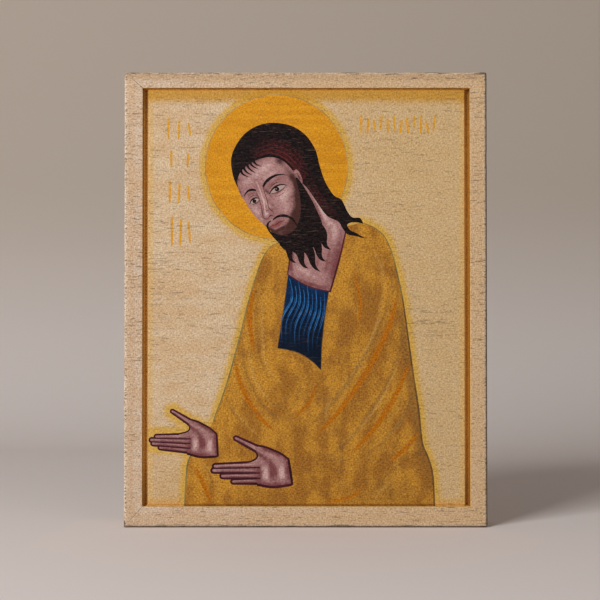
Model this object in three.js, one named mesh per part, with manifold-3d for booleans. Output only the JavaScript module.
// Icon panel: a painted wooden board set in a frame of four mitred members.
// Millimetres, +Z up. The painted face looks along -Y, and the panel stands on its lower rail,
// with the origin under its middle.
import * as THREE from "three";
import { mergeVertices } from "three/addons/utils/BufferGeometryUtils.js";
import Module from "manifold-3d";

// The whole panel, seen from the front
const PANEL_WIDTH = 240;
const PANEL_HEIGHT = 301;
const PANEL_DEPTH = 32;

// Width of each frame member across its face: they aren't alike
const LEFT_STILE_WIDTH = 12.1;
const RIGHT_STILE_WIDTH = 11.1;
const TOP_RAIL_WIDTH = 10.5;
const BOTTOM_RAIL_WIDTH = 13.7;

// Rounding of the members' long edges
const OUTER_ARRIS_RADIUS = 1.4;
const INNER_ARRIS_RADIUS = 0.8;
const ARRIS_SEGMENTS = 5;

// Open joints: the mitres, and the clearance all round the board
const MITRE_GAP = 0.3;
const BOARD_CLEARANCE = 0.3;

// The board: its field lies behind the frame's face, and its back behind the frame's back
const FIELD_SETBACK = 2;
const BACK_SETBACK = 3;
const CHANNEL_WIDTH = 3.6;
const CHANNEL_DEPTH = 4;
const END_JOINT_WIDTH = 1;
const FIELD_ARRIS = 0.6;

// The opening inside the frame, and the members' ends
const opening = {
  left: -PANEL_WIDTH / 2 + LEFT_STILE_WIDTH,
  right: PANEL_WIDTH / 2 - RIGHT_STILE_WIDTH,
  bottom: BOTTOM_RAIL_WIDTH,
  top: PANEL_HEIGHT - TOP_RAIL_WIDTH,
};
const FRONT = -PANEL_DEPTH / 2;
const BACK = PANEL_DEPTH / 2;

const limedWood = new THREE.MeshStandardMaterial({ color: 0xc3a78b, roughness: 0.7, metalness: 0 });
const paintedWood = new THREE.MeshStandardMaterial({ color: 0xb98f4a, roughness: 0.6, metalness: 0 });

// Cross-section of a member: u runs from the opening to the outer edge, v from back to front.
function memberSection(width) {
  const inner = INNER_ARRIS_RADIUS;
  const outer = OUTER_ARRIS_RADIUS;
  const section = new THREE.Shape();
  section.moveTo(inner, 0);
  section.lineTo(width - outer, 0);
  section.absarc(width - outer, outer, outer, -Math.PI / 2, 0, false);
  section.absarc(width - outer, PANEL_DEPTH - outer, outer, 0, Math.PI / 2, false);
  section.absarc(inner, PANEL_DEPTH - inner, inner, Math.PI / 2, Math.PI, false);
  section.absarc(inner, inner, inner, Math.PI, 1.5 * Math.PI, false);
  return section;
}

// A member of unit length whose two ends are then drawn out to the mitre planes. Each plane runs
// from the opening's corner to the panel's, so an end moves out by the neighbour's width over the
// whole width of the member, less half of the open joint.
function memberGeometry({ width, from, to, before, after }) {
  const geometry = new THREE.ExtrudeGeometry(memberSection(width), {
    depth: 1,
    bevelEnabled: false,
    curveSegments: ARRIS_SEGMENTS,
  });
  const slopeBefore = before / width;
  const slopeAfter = after / width;
  const trimBefore = (MITRE_GAP / 2) * Math.hypot(1, slopeBefore);
  const trimAfter = (MITRE_GAP / 2) * Math.hypot(1, slopeAfter);
  const position = geometry.attributes.position;
  for (let i = 0; i < position.count; i++) {
    const u = position.getX(i);
    const atStart = position.getZ(i) < 0.5;
    const along = atStart ? from - u * slopeBefore + trimBefore : to + u * slopeAfter - trimAfter;
    position.setZ(i, along);
  }
  geometry.computeVertexNormals();
  return geometry;
}

const RIGHTWARD = new THREE.Vector3(1, 0, 0);
const LEFTWARD = new THREE.Vector3(-1, 0, 0);
const UPWARD = new THREE.Vector3(0, 0, 1);
const DOWNWARD = new THREE.Vector3(0, 0, -1);
const FORWARD = new THREE.Vector3(0, -1, 0);

// Going clockwise round the opening, as seen from the front, each member's length runs `along`
// from one corner of the opening to the next, and its width runs `outward`.
function frameMembers() {
  const rows = [
    {
      name: "left_stile", width: LEFT_STILE_WIDTH, before: BOTTOM_RAIL_WIDTH, after: TOP_RAIL_WIDTH,
      along: UPWARD, from: opening.bottom, to: opening.top, outward: LEFTWARD, edge: opening.left,
    },
    {
      name: "top_rail", width: TOP_RAIL_WIDTH, before: LEFT_STILE_WIDTH, after: RIGHT_STILE_WIDTH,
      along: RIGHTWARD, from: opening.left, to: opening.right, outward: UPWARD, edge: opening.top,
    },
    {
      name: "right_stile", width: RIGHT_STILE_WIDTH, before: TOP_RAIL_WIDTH, after: BOTTOM_RAIL_WIDTH,
      along: DOWNWARD, from: -opening.top, to: -opening.bottom, outward: RIGHTWARD, edge: opening.right,
    },
    {
      name: "bottom_rail", width: BOTTOM_RAIL_WIDTH, before: RIGHT_STILE_WIDTH, after: LEFT_STILE_WIDTH,
      along: LEFTWARD, from: -opening.right, to: -opening.left, outward: DOWNWARD, edge: opening.bottom,
    },
  ];
  return rows.map((row) => {
    const mesh = new THREE.Mesh(memberGeometry(row), limedWood);
    mesh.name = row.name;
    mesh.quaternion.setFromRotationMatrix(new THREE.Matrix4().makeBasis(row.outward, FORWARD, row.along));
    const isStile = row.along.z !== 0;
    mesh.position.set(isStile ? row.edge : 0, BACK, isStile ? 0 : row.edge);
    return mesh;
  });
}

const wasm = await Module();
wasm.setup();

function solid(geometry) {
  const bare = geometry.clone();
  bare.deleteAttribute("normal");
  bare.deleteAttribute("uv");
  const merged = mergeVertices(bare, 1e-4);
  return new wasm.Manifold(new wasm.Mesh({
    numProp: 3,
    vertProperties: new Float32Array(merged.attributes.position.array),
    triVerts: new Uint32Array(merged.index.array),
  }));
}

function geometryOf(manifold) {
  const mesh = manifold.getMesh();
  const geometry = new THREE.BufferGeometry();
  geometry.setAttribute("position", new THREE.BufferAttribute(mesh.vertProperties, 3));
  geometry.setIndex(new THREE.BufferAttribute(mesh.triVerts, 1));
  geometry.computeVertexNormals();
  return geometry;
}

// The board's base fills the opening up to the channels' floor. The field stands up from it,
// a channel's width in from each stile and an end joint's width from each rail.
function paintedBoard() {
  const fieldFace = FRONT + FIELD_SETBACK;
  const channelFloor = fieldFace + CHANNEL_DEPTH;
  const boardBack = BACK - BACK_SETBACK;
  const left = opening.left + BOARD_CLEARANCE;
  const right = opening.right - BOARD_CLEARANCE;
  const bottom = opening.bottom + BOARD_CLEARANCE;
  const top = opening.top - BOARD_CLEARANCE;
  const base = new THREE.BoxGeometry(right - left, boardBack - channelFloor, top - bottom);
  base.translate((left + right) / 2, (channelFloor + boardBack) / 2, (bottom + top) / 2);

  const fieldLeft = opening.left + CHANNEL_WIDTH;
  const fieldRight = opening.right - CHANNEL_WIDTH;
  const fieldBottom = opening.bottom + END_JOINT_WIDTH;
  const fieldTop = opening.top - END_JOINT_WIDTH;
  const outline = new THREE.Shape();
  outline.moveTo(fieldLeft + FIELD_ARRIS, fieldBottom + FIELD_ARRIS);
  outline.lineTo(fieldRight - FIELD_ARRIS, fieldBottom + FIELD_ARRIS);
  outline.lineTo(fieldRight - FIELD_ARRIS, fieldTop - FIELD_ARRIS);
  outline.lineTo(fieldLeft + FIELD_ARRIS, fieldTop - FIELD_ARRIS);
  const field = new THREE.ExtrudeGeometry(outline, {
    depth: boardBack - fieldFace - 2 * FIELD_ARRIS,
    bevelEnabled: true,
    bevelThickness: FIELD_ARRIS,
    bevelSize: FIELD_ARRIS,
    bevelSegments: 3,
  });
  field.rotateX(Math.PI / 2);
  field.translate(0, boardBack - FIELD_ARRIS, 0);

  const board = new THREE.Mesh(geometryOf(solid(base).add(solid(field))), paintedWood);
  board.name = "painted_board";
  return board;
}

const panel = new THREE.Group();
panel.add(...frameMembers(), paintedBoard());

export default panel;
